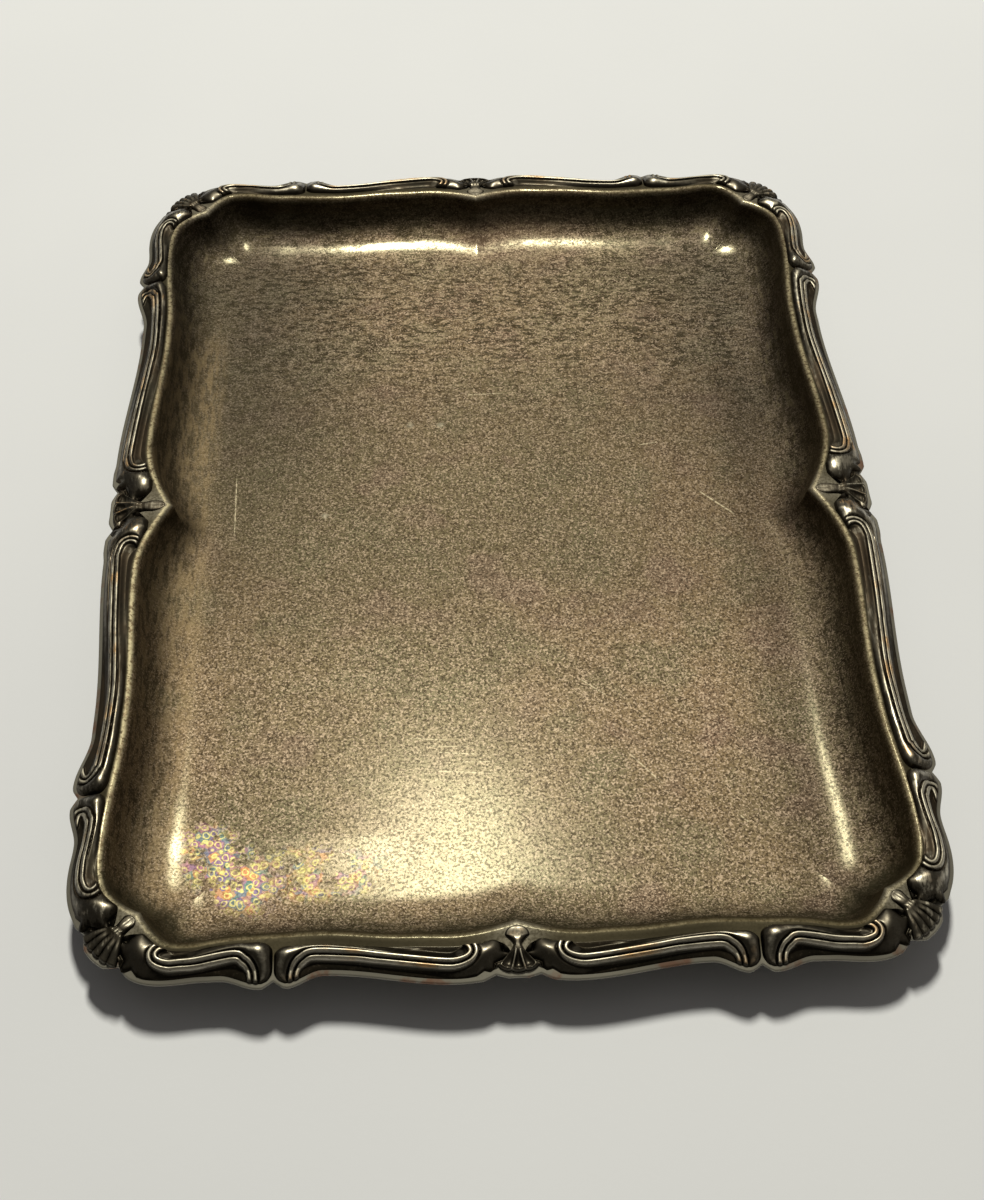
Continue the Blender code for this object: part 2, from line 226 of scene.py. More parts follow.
def close_bottom(co, rows, cols, under):
    """Faces for a height-field grid closed by a flat sole under it."""
    top = grid_faces(rows, cols)
    faces = [tuple(q) for q in top]
    n = rows * cols
    low = co.copy()
    low[:, 2] = under.ravel() + SOLE
    loop = ([(i, 0) for i in range(rows)] + [(rows - 1, j) for j in range(1, cols)]
            + [(i, cols - 1) for i in range(rows - 2, -1, -1)] + [(0, j) for j in range(cols - 2, 0, -1)])
    ring = [i * cols + j for i, j in loop]
    sole = low[ring]
    m = len(ring)
    for k in range(m):
        k2 = (k + 1) % m
        faces.append((ring[k2], ring[k], n + k, n + k2))
    # sole: strips between the two long edges, so no long-thin ngon is left
    idx = {rc: n + k for k, rc in enumerate(loop)}
    for i in range(rows - 1):
        a, b = idx[(i, 0)], idx[(i + 1, 0)]
        c, d = idx[(i + 1, cols - 1)], idx[(i, cols - 1)]
        if i == 0:
            end = [idx[(0, j)] for j in range(cols - 1, 0, -1)]
            faces.append(tuple([a, b, c] + end))
        elif i == rows - 2:
            end = [idx[(rows - 1, j)] for j in range(1, cols)]
            faces.append(tuple([a, b] + end[:-1] + [c, d]))
        else:
            faces.append((a, b, c, d))
    return np.vstack([co, sole]), faces


# ------------------------------------------------------------------ scrolls
def shell_edge(w, notch):
    """Where a scroll stops beside a shell: rounded inner end, closest at the
    neck, then following the fan outwards."""
    neck, inner = 1.15, 3.0
    w = np.asarray(w, float)
    k = np.clip((w - 0.3) / 0.7, 0, 1)
    fan = neck + (notch - 0.15 - neck) * k ** 1.5
    return np.where(w < 0.3, neck + (inner - neck) * (1 - w / 0.3) ** 2, fan)


def scroll_shape(side, corner, bulb, boss=4.4):
    joint = SIDE_JOINT if side else END_JOINT
    diag = SIDE_DIAG if side else END_DIAG
    toward = 1.0 if corner else -1.0
    notch = CORNER_NOTCH if corner else (SIDE_NOTCH if side else END_NOTCH)
    length = (diag - notch - joint) if corner else (joint - notch)
    margin = (SIDE_MARGINS if side else END_MARGINS)[1 if corner else 0]
    gap = 0.12

    # stations: fine near both ends, a little coarser between
    steps = [0.0]
    while steps[-1] < length:
        d = min(steps[-1], length - steps[-1])
        steps.append(steps[-1] + (0.07 if d < 0.5 else 0.16 if d < 12 else 0.24))
    u = np.array(steps) / steps[-1]
    cols = 54
    w = 0.5 - 0.5 * np.cos(np.linspace(0, math.pi, cols))
    w = 0.45 * w + 0.55 * np.linspace(0, 1, cols)
    U, W = np.meshgrid(u, w, indexing="ij")

    def end_at(ww):
        e = shell_edge(ww, notch)
        return (diag - e) if corner else e

    start = joint + toward * gap
    far, mean = end_at(W) - toward * 0.3, end_at(0.5) - toward * 0.3
    lean = smooth(1 - (1 - U) * length / 10.0)
    s = start + (mean - start) * U + (far - mean) * lean

    d0, d1 = U * length, (1 - U) * length
    n0, n1 = 2.3, 2.2
    round0 = (1 - np.clip(1 - d0 / 2.6, 0, 1) ** n0) ** (1 / n0)
    round1 = (1 - np.clip(1 - d1 / 2.6, 0, 1) ** n1) ** (1 / n1)
    s_mid = s[:, cols // 2][:, None]
    # only soften the flange's own notch: use the wave without the notches here
    waves = SIDE_OUTER if side else END_OUTER
    hi = wave(waves, s_mid) - OUTER_MARGIN
    vees = SIDE_VEES if side else END_VEES
    hi = hi - 0.75 * sum(vee(s_mid, v[0], v[1], v[2], v[3]) for v in vees)
    lo = inner_offset(side, s_mid) + margin
    # near a side shell the cusp pulls the flange in faster than the casting
    if not corner:
        lo = np.maximum(lo, -(wave(SIDE_INNER if side else END_INNER, s_mid)) - (2.3 if side else 1.0) + margin * 0.4)
    centre0, centre1 = 0.55, 0.56
    mid_w = 0.5 + (centre0 - 0.5) * smooth(1 - d0 / 3) + (centre1 - 0.5) * smooth(1 - d1 / 3)
    half = 0.5 * (hi - lo) * (0.42 + 0.58 * round0) * (0.34 + 0.66 * round1)
    mid = lo + (hi - lo) * mid_w
    a = np.maximum(lo, mid - half)
    b = np.minimum(hi, mid + half)
    t = a + (b - a) * W
    p = toward * (s - joint)

    # the outline, for distances to the edge
    rows = len(u)
    ring = np.vstack([np.stack([p[:, 0], t[:, 0]], 1), np.stack([p[-1, 1:], t[-1, 1:]], 1),
                      np.stack([p[::-1, -1][1:], t[::-1, -1][1:]], 1),
                      np.stack([p[0, ::-1][1:], t[0, ::-1][1:]], 1)])
    de, _, _ = polyline_distance(p.ravel(), t.ravel(), ring[::2] if len(ring) % 2 else np.vstack([ring[::2], ring[-1]]))
    de = de.reshape(p.shape)

    # centre line of the twin reeds: an S from the outer edge by the joint to
    # the inner edge by the shell
    lo1, hi1 = lo[:, 0], hi[:, 0]
    pm = toward * (s_mid[:, 0] - joint)

    def at(pp, ww):
        l, h = np.interp(pp, pm, lo1), np.interp(pp, pm, hi1)
        return pp, l + (h - l) * ww

    L = length
    if side:                     # the reeds hook back beside the joint
        nodes = [at(boss + 3.4, 1.06), at(boss + 1.9, 0.965), at(boss + 0.55, 0.86), at(boss + 0.15, 0.72),
                 at(boss + 0.75, 0.58), at(boss + 2.3, 0.50), at(boss + 4.8, 0.465)]
    else:                        # on the short ends they run out over the edge
        nodes = [at(boss + 0.35, 1.14), at(boss + 0.05, 0.93), at(boss + 0.45, 0.70), at(boss + 1.9, 0.54),
                 at(boss + 4.8, 0.47)]
    for k in (0.3, 0.5, 0.7):
        q = boss + 4.8 + (L - bulb - 8.0 - boss - 4.8) * k
        if L > 40:
            nodes.append(at(q, 0.47 + 0.13 * k))
    nodes += [at(L - bulb - 8.0, 0.62), at(L - bulb - 4.4, 0.62), at(L - bulb - 1.7, 0.52),
              at(L - bulb - 0.55, 0.34), at(L - bulb - 0.8, 0.12), at(L - bulb - 1.9, -0.08)]
    line = catmull(nodes, 18)
    dr, sg, al = polyline_distance(p.ravel(), t.ravel(), line)
    dr, sg, al = dr.reshape(p.shape), sg.reshape(p.shape), al.reshape(p.shape)

    w_here = np.clip((t - lo) / (hi - lo), 0, 1)
    k = smooth((p - 0.12 * L) / (0.62 * L))                # joint -> shell
    w0 = 0.26 + 0.22 * k
    ridge = 2.05 - 0.80 * (np.clip(w_here - w0, 0, None) / 0.35) ** 2 \
        - 0.75 * (np.clip(w0 - w_here, 0, None) / w0) ** 2
    ridge = np.clip(ridge, 0.70, None)

    band = 1.26
    gapw = np.clip(dr - band, 0, None)
    width = de + gapw
    v = np.clip(de / np.maximum(width, 1e-4), 0, 1)
    inner_side = sg < 0                                    # boss and inner roll
    kj, kk = smooth((p - 0.15 * L) / (0.65 * L)), smooth((p - 0.2 * L) / (0.65 * L))
    outer_roll = (-0.5 + 1.5 * kk) if side else (-0.75 + 1.35 * smooth((p - 0.55 * L) / (0.40 * L)))
    amount = np.where(inner_side, 1 - 1.5 * kj, outer_roll)
    pos, neg = np.clip(amount, 0, 1), np.clip(-2 * amount, 0, 1)
    round_amp = np.clip(0.30 * width, 0, 1.35)
    arch = np.sqrt(np.clip(4 * v * (1 - v), 0, 1))
    base = (ridge - 0.42) * v ** (1.0 - 0.3 * pos + 0.5 * neg)
    h = base + pos * round_amp * arch - neg * 0.42 * arch ** 2
    # a small button lies in the hollow where the reeds turn back
    button = np.exp(-(((p - (L - bulb - 3.6)) / 1.15) ** 2 + ((w_here - 0.27) / 0.15) ** 2) ** 2) * inner_side
    h = h + 0.38 * button
    # the medial line of a roll is smooth, not a ridge
    blend = smooth((band + 0.12 - dr) / 0.24)
    keep = smooth((de - 0.35) / 0.6) * (1 - blend)
    for _ in range(46):
        q = h.copy()
        q[1:-1, 1:-1] = 0.5 * h[1:-1, 1:-1] + 0.125 * (h[2:, 1:-1] + h[:-2, 1:-1] + h[1:-1, 2:] + h[1:-1, :-2])
        h = h + (q - h) * keep
    bead = 0.16 * np.exp(-((de - 0.55) / 0.24) ** 2) * neg
    crease = 0.42 * np.exp(-(gapw / 0.32) ** 2) * (0.35 + 0.65 * pos) * (dr > band - 0.15)
    h = h + bead - crease
    # the reeds themselves
    reed = np.sqrt(np.clip(1 - (np.abs(dr - 0.69) / 0.57) ** 2, 0, None))
    in_band = dr < band
    valley = np.exp(-(dr / 0.14) ** 2)
    hb = ridge - 0.50 + 0.60 * reed - 0.12 * valley
    h = h * (1 - blend) + hb * blend
    # everything closes down on the outline
    close = np.sqrt(np.clip(1 - (1 - np.clip(de / 0.70, 0, 1)) ** 2, 0, 1))
    h = np.clip(h, 0.05, None) * close + 0.02
    # what the polishing cloth reaches
    wear = np.clip(0.16 + 0.95 * reed ** 2 * in_band + 0.62 * pos * arch ** 3 + 0.5 * button
                   - 0.7 * valley * in_band - crease - 0.25 * neg * (1 - blend), 0, 1)
    wear = wear * np.clip(de / 0.5, 0, 1)
    polish = smooth(pos) * arch * (1 - blend)

    x, y = guide(side, s, t)
    under = flange_top(side, s, t)
    co = np.stack([x, y, under + h], -1).reshape(-1, 3)
    co, faces = close_bottom(co, rows, cols, under)
    extra = len(co) - rows * cols
    attrs = {"wear": np.concatenate([wear.ravel(), np.zeros(extra)]),
             "polish": np.concatenate([polish.ravel(), np.zeros(extra)])}
    return co, orient(co, faces), attrs


def orient(co, faces):
    """Faces turned outwards, judged by the signed volume of the closed body."""
    vol = 0.0
    for f in faces:
        a = co[f[0]]
        for i in range(1, len(f) - 1):
            vol += float(np.dot(a, np.cross(co[f[i]], co[f[i + 1]])))
    return [tuple(f[::-1]) for f in faces] if vol < 0 else [tuple(f) for f in faces]


# ------------------------------------------------------------------ shells
def shell_shape(tip, root, reach_out, wide, half_lip, lobes, convex, place, rubbed=0.36):
    """A rounded keystone behind the lip that narrows to a neck and opens into a
    fan: teardrop scoops between thin ribs, or at the corners plump lobes."""
    rows, cols = 132, 121
    K, F = np.meshgrid(np.linspace(0, 1, rows), np.linspace(-1, 1, cols), indexing="ij")
    neck_at = root + 0.30 * (reach_out - root)
    neck = 0.95 if rubbed > 0.5 else min(1.55, 0.9 * wide)
    lip = reach_out - 1.3 * np.abs(F) ** 2.6
    cell = (F + 1) * lobes / 2
    y = 2 * (cell - np.floor(np.clip(cell, 0, lobes - 1e-6))) - 1      # across one flute
    y = np.clip(y, -1, 1)
    lip = lip - 0.32 * y ** 4
    t = tip + (lip - tip) * K
    tm = tip + (reach_out - tip) * K
    k = np.clip((tm - neck_at) / (reach_out - neck_at), 0, 1)           # along the fan
    half = np.where(tm < root, wide * np.sqrt(np.clip(1 - ((root - tm) / (root - tip)) ** 2, 0.02, 1)),
                    np.where(tm < neck_at, neck + (wide - neck) * (1 - np.clip((tm - root) / (neck_at - root), 0, 1)) ** 2,
                             neck + (half_lip - neck) * k ** (0.80 if convex else 1.45)))
    a = half * F
    pitch = half / lobes
    grow = smooth((k - 0.16) / 0.45)
    if convex:
        lobe = np.sqrt(np.clip(1 - (0.96 * y) ** 2, 0, 1))
        dome = 1.45 - 0.70 * smooth((k - 0.35) / 0.65) ** 1.3
        h = dome + 0.70 * (lobe - 0.6) * grow
        shine = 0.60 * lobe ** 2 * grow
    else:
        drop = np.clip(1 - (y / (0.82 * (0.45 + 0.55 * grow))) ** 2, 0, 1) ** 0.7
        scoop = drop * grow * smooth((0.93 - 0.05 * y ** 2 - k) / 0.10)
        pearl = np.exp(-((k - 0.78) / 0.075) ** 2) * np.clip(1 - (y / 0.55) ** 2, 0, 1)
        rib = np.exp(-((1 - np.abs(y)) * pitch / 0.24) ** 2) * smooth((k - 0.06) / 0.25)
        dome = 1.55 - 0.45 * smooth((k - 0.30) / 0.70)
        h = dome - 0.95 * scoop + 0.20 * rib + 0.20 * pearl
        shine = np.clip(rib + 0.8 * pearl - 0.9 * scoop, 0, 1)
    h = h * (1 - 0.22 * np.abs(F) ** 3)
    pad = smooth((neck_at + 0.9 - tm) / 1.8)
    swell = 0.22 + (1.20 if rubbed > 0.5 else 0.85) * smooth((tm - tip) / (0.80 * (neck_at - tip)))
    h = h * (1 - pad) + pad * swell * (1 - 0.55 * np.abs(F) ** 2.2)
    edge = np.minimum(np.minimum((1 - np.abs(F)) * half, (1 - K) * (reach_out - tip)), (tm - tip) * 0.9)
    close = np.sqrt(np.clip(1 - (1 - np.clip(edge / 0.5, 0, 1)) ** 2, 0, 1))
    h = np.clip(h, 0.06, None) * close + 0.02
    wear = np.clip(0.30 + 0.62 * shine, 0, 1) * (1 - pad) + pad * (rubbed - 0.5 * rubbed * np.abs(F) ** 3)
    wear = wear * (0.35 + 0.65 * close)
    x, yy, under = place(a, t)
    co = np.stack([x, yy, under + h], -1).reshape(-1, 3)
    co, faces = close_bottom(co, rows, cols, under)
    extra = len(co) - rows * cols
    return co, orient(co, faces), {"wear": np.concatenate([wear.ravel(), np.zeros(extra)]),
                                   "polish": np.concatenate([(1.25 * pad * max(rubbed - 0.36, 0.0)).ravel(), np.zeros(extra)])}


# ------------------------------------------------------------------ the pan
def pan_columns(side):
    diag = SIDE_DIAG if side else END_DIAG
    s = [0.0]
    while s[-1] < diag - 0.35:
        d = s[-1]
        near = min([abs(d - v[0]) for v in (SIDE_VEES if side else END_VEES)] + [d, diag - d])
        s.append(d + (0.35 if near < 3 else 0.85))
    s = np.array(s) * (diag / s[-1])
    return s


def pan_profile(side, s, foot_side, foot_end):
    """Section of the sheet's top at each station: (offset, height) arrays."""
    to, ti, tf = outer_offset(side, s), inner_offset(side, s), foot_offset(side, s, foot_side, foot_end)
    edge, crest = flange_top(side, s, to), ti + LIP_START
    pts = []
    r = 0.45
    for a in np.linspace(-80, 80, 8):                       # rounded sheet edge
        pts.append((to - r + r * math.cos(math.radians(a)),
                    edge - r + r * math.sin(math.radians(a))))
    for k in (0.12, 0.3, 0.5, 0.7, 0.88):
        pts.append((to + (crest - to) * k, edge + (CREST_Z - edge) * k))
    for a in np.radians(np.linspace(-9, LIP_TURN, 12)):     # rounded inner lip
        pts.append((crest - LIP_R * np.sin(a), CREST_Z - LIP_R * (1 - np.cos(a)) + 0 * s))
    top, z_top = pts.pop()
    for k in np.linspace(0, 1, 42) ** 1.35:
        u = 1 - k
        rise = SWEEP_SHARE * u ** SWEEP_POWER + (1 - SWEEP_SHARE) * u ** STEEP_POWER
        pts.append((top + (tf - top) * k, FLOOR_TOP + (z_top - FLOOR_TOP) * rise))
    return pts


def pan_quarter(foot_side, foot_end):
    quarter, cusp = [], []
    for side in (True, False):
        s = pan_columns(side)
        cusp.append(np.maximum(np.exp(-(s / 5.5) ** 2), np.exp(-((s - (SIDE_DIAG if side else END_DIAG)) / 6.0) ** 2)))
        prof = pan_profile(side, s, foot_side, foot_end)
        cols = np.stack([np.stack(guide(side, s, t) + (z,), -1) for t, z in prof], 1)   # station, point, xyz
        quarter.append(cols)
    return (np.concatenate([quarter[0], quarter[1][::-1][1:]], 0),
            np.concatenate([cusp[0], cusp[1][::-1][1:]], 0))


def build_pan():
    quarters = {(sx, sy): pan_quarter(FOOT_RIGHT if sx > 0 else FOOT_LEFT, FOOT_BACK if sy > 0 else FOOT_FRONT)
                for sx in (1, -1) for sy in (1, -1)}
    loops, cusps = [], []
    for sx, sy, fwd in ((1, 1, True), (-1, 1, False), (-1, -1, True), (1, -1, False)):
        quarter, cusp = quarters[(sx, sy)]
        q = quarter * np.array([sx, sy, 1.0])
        if not fwd:
            q = q[::-1]
        loops.append(q[:-1])
        cusps.append((cusp if fwd else cusp[::-1])[:-1])
    top = np.concatenate(loops, 0)                           # (n, m, 3)
    n, m = top.shape[:2]
    # the underside follows the top at the sheet's thickness
    skip = list(range(8, m, 2)) + [m - 1]
    skip = sorted(set(skip))
    under = []
    for j in skip:
        a, b = top[:, max(j - 1, 0)], top[:, min(j + 1, m - 1)]
        run = np.linalg.norm((b - a)[:, :2], axis=1)
        slope = (b - a)[:, 2] / np.maximum(run, 1e-6)
        c = 1 / np.sqrt(1 + slope ** 2)
        inward = (b - a)[:, :2] / np.maximum(run, 1e-6)[:, None]
        p = top[:, j].copy()
        shift = np.clip(-slope * c, 0, 1) * SHEET_T          # steep walls: move outwards
        p[:, :2] -= inward * shift[:, None]
        p[:, 2] -= SHEET_T * c
        under.append(p)
    under = np.stack(under, 1)
    under[:, -1, 2] = 0.0
    under[:, :, 2] = np.clip(under[:, :, 2], 0.0, None)
    k = under.shape[1]
    ring = np.concatenate([top, under[:, ::-1]], 1)      # edge .. foot, then back underneath
    co = ring.reshape(-1, 3)
    total = m + k
    faces = []
    i = np.arange(n)[:, None]
    ii = (np.arange(n)[:, None] + 1) % n
    jt = np.arange(m - 1)[None, :]
    q = np.stack([i * total + jt, ii * total + jt, ii * total + jt + 1, i * total + jt + 1], -1).reshape(-1, 4)
    ju = np.arange(m, total - 1)[None, :]
    q2 = np.stack([i * total + ju, ii * total + ju, ii * total + ju + 1, i * total + ju + 1], -1).reshape(-1, 4)
    q3 = np.stack([i * total + total - 1, ii * total + total - 1, ii * total + 0, i * total + 0], -1).reshape(-1, 4)
    faces = [tuple(f) for f in np.concatenate([q, q2, q3], 0)]
    # floor: shrinking rings so the light runs smoothly over the foot
    base = len(co)
    rings, extra = [], []
    foot_top = [j * total + m - 1 for j in range(n)]
    foot_low = [j * total + m for j in range(n)]
    extra_rows = []
    for which, z in ((foot_top, FLOOR_TOP), (foot_low, 0.0)):
        prev = which
        for f in (0.965, 0.90, 0.75, 0.5):
            pts = co[which].copy()
            pts[:, 0] *= f
            pts[:, 1] *= f
            pts[:, 2] = z
            start = base + sum(len(e) for e in extra_rows)
            extra_rows.append(pts)
            cur = [start + j for j in range(n)]
            for j in range(n):
                j2 = (j + 1) % n
                quad = (prev[j], prev[j2], cur[j2], cur[j])
                faces.append(quad if which is foot_top else quad[::-1])
            prev = cur
        faces.append(tuple(prev) if which is foot_top else tuple(prev[::-1]))
    co = np.vstack([co] + extra_rows)
    across = np.concatenate([np.tile(np.concatenate([np.linspace(0, 1, m), np.full(k, -1.0)]), n),
                             np.ones(len(co) - base)])
    near = np.concatenate([np.repeat(np.concatenate(cusps), total), np.zeros(len(co) - base)])
    return co, faces, across, near


def rebuild_pan():
    co, faces, across, near = build_pan()
    ob = mesh_object("tray_pan_sheet", co, orient(co, faces), {"across": across, "cusp": near})
    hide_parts("tray_pan")
    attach(ob, "root")
    return ob


# ------------------------------------------------------------------ node helpers
class Nodes:
    """Small builder over a material's node tree."""

    def __init__(self, name):
        self.mat = bpy.data.materials.new(name)
        self.mat.use_nodes = True
        self.tree = self.mat.node_tree
        self.tree.nodes.clear()
        self.out = self.tree.nodes.new("ShaderNodeOutputMaterial")
        self.bsdf = self.tree.nodes.new("ShaderNodeBsdfPrincipled")
        self.tree.links.new(self.bsdf.outputs[0], self.out.inputs[0])
        self.gloss = None
        self.coord = self.tree.nodes.new("ShaderNodeTexCoord").outputs["Object"]

    def link(self, value, socket):
        if isinstance(value, (int, float)):
            socket.default_value = value
        elif isinstance(value, tuple):
            socket.default_value = (*value, 1.0) if len(value) == 3 and len(socket.default_value) == 4 else value
        else:
            self.tree.links.new(value, socket)

    def polished(self, share, colour, rough, normal=None):
        """Lets a share of the surface shine like the bare metal under the tarnish."""
        self.gloss = self.tree.nodes.new("ShaderNodeBsdfPrincipled")
        self.gloss.inputs["Metallic"].default_value = 1.0
        self.link(colour, self.gloss.inputs["Base Color"])
        self.link(rough, self.gloss.inputs["Roughness"])
        if normal is not None:
            self.link(normal, self.gloss.inputs["Normal"])
        m = self.tree.nodes.new("ShaderNodeMixShader")
        self.link(share, m.inputs[0])
        self.tree.links.new(self.bsdf.outputs[0], m.inputs[1])
        self.tree.links.new(self.gloss.outputs[0], m.inputs[2])
        self.tree.links.new(m.outputs[0], self.out.inputs[0])

    def math(self, op, a, b=None, c=None, clamp=False):
        n = self.tree.nodes.new("ShaderNodeMath")
        n.operation = op
        n.use_clamp = clamp
        for i, v in enumerate((a, b, c)):
            if v is not None:
                self.link(v, n.inputs[i])
        return n.outputs[0]

    def noise(self, scale, detail=2.0, rough=0.5, stretch=None, lac=2.0, dist=0.0, seed=0.0, colour=False):
        n = self.tree.nodes.new("ShaderNodeTexNoise")
        n.inputs["Scale"].default_value = scale
        n.inputs["Detail"].default_value = detail
        n.inputs["Roughness"].default_value = rough
        n.inputs["Lacunarity"].default_value = lac
        n.inputs["Distortion"].default_value = dist
        m = self.tree.nodes.new("ShaderNodeMapping")
        m.inputs["Location"].default_value = (seed * 0.013, seed * 0.029, seed * 0.017)
        if stretch:
            m.inputs["Rotation"].default_value = (0, 0, stretch[3] if len(stretch) > 3 else 0)
            m.inputs["Scale"].default_value = stretch[:3]
        self.tree.links.new(self.coord, m.inputs["Vector"])
        self.tree.links.new(m.outputs[0], n.inputs["Vector"])
        return n.outputs["Color"] if colour else n.outputs["Fac"]

    def ramp(self, fac, *stops, kind='LINEAR'):
        n = self.tree.nodes.new("ShaderNodeValToRGB")
        n.color_ramp.interpolation = kind
        els = n.color_ramp.elements
        while len(els) > 1:
            els.remove(els[-1])
        for i, (pos, col) in enumerate(stops):
            e = els[0] if i == 0 else els.new(pos)
            e.position = pos
            e.color = (*col, 1.0) if isinstance(col, tuple) else (col, col, col, 1.0)
        self.link(fac, n.inputs[0])
        return n.outputs[0]

    def band(self, fac, lo, hi, a=0.0, b=1.0):
        n = self.tree.nodes.new("ShaderNodeMapRange")
        n.interpolation_type = 'SMOOTHSTEP'
        for key, val in (("From Min", lo), ("From Max", hi), ("To Min", a), ("To Max", b)):
            self.link(val, n.inputs[key])
        self.link(fac, n.inputs["Value"])
        return n.outputs[0]

    def mix(self, fac, a, b, mode='MIX'):
        n = self.tree.nodes.new("ShaderNodeMix")
        n.data_type = 'RGBA'
        n.blend_type = mode
        n.clamp_factor = True
        self.link(fac, n.inputs[0])
        self.link(a, n.inputs[6])
        self.link(b, n.inputs[7])
        return n.outputs[2]

    def attr(self, name):
        n = self.tree.nodes.new("ShaderNodeAttribute")
        n.attribute_name = name
        return n.outputs["Fac"]

    def xyz(self):
        n = self.tree.nodes.new("ShaderNodeSeparateXYZ")
        self.tree.links.new(self.coord, n.inputs[0])
        return n.outputs

    def bump(self, height, strength, distance, normal=None):
        n = self.tree.nodes.new("ShaderNodeBump")
        n.inputs["Strength"].default_value = strength
        n.inputs["Distance"].default_value = distance
        self.link(height, n.inputs["Height"])
        if normal is not None:
            self.link(normal, n.inputs["Normal"])
        return n.outputs[0]

    def scratch(self, x0, y0, x1, y1, width):
        """1 on a thin straight scratch from (x0, y0) to (x1, y1), in metres."""
        x, y, _ = self.xyz()
        length = math.hypot(x1 - x0, y1 - y0)
        cx, cy = (x1 - x0) / length, (y1 - y0) / length
        dx, dy = self.math('SUBTRACT', x, x0), self.math('SUBTRACT', y, y0)
        along = self.math('ADD', self.math('MULTIPLY', dx, cx), self.math('MULTIPLY', dy, cy))
        off = self.math('SUBTRACT', self.math('MULTIPLY', dx, cy), self.math('MULTIPLY', dy, cx))
        near = self.band(self.math('ABSOLUTE', off), 0.4 * width, width, 1.0, 0.0)
        inside = self.math('MULTIPLY', self.band(along, 0.0, 0.15 * length), self.band(along, length, 0.8 * length))
        return self.math('MULTIPLY', near, inside)


# ------------------------------------------------------------------ materials
PAN_GLOSS, PAN_GLOSS_ROUGH = 0.0091, 0.160
# where the flange and the lip end, as fractions of the section's points
SECTION_POINTS = 8 + 5 + 11 + 42
EDGE_END = 8 / (SECTION_POINTS - 1)
FLANGE_END = 13 / (SECTION_POINTS - 1)
LIP_END = 20 / (SECTION_POINTS - 1)


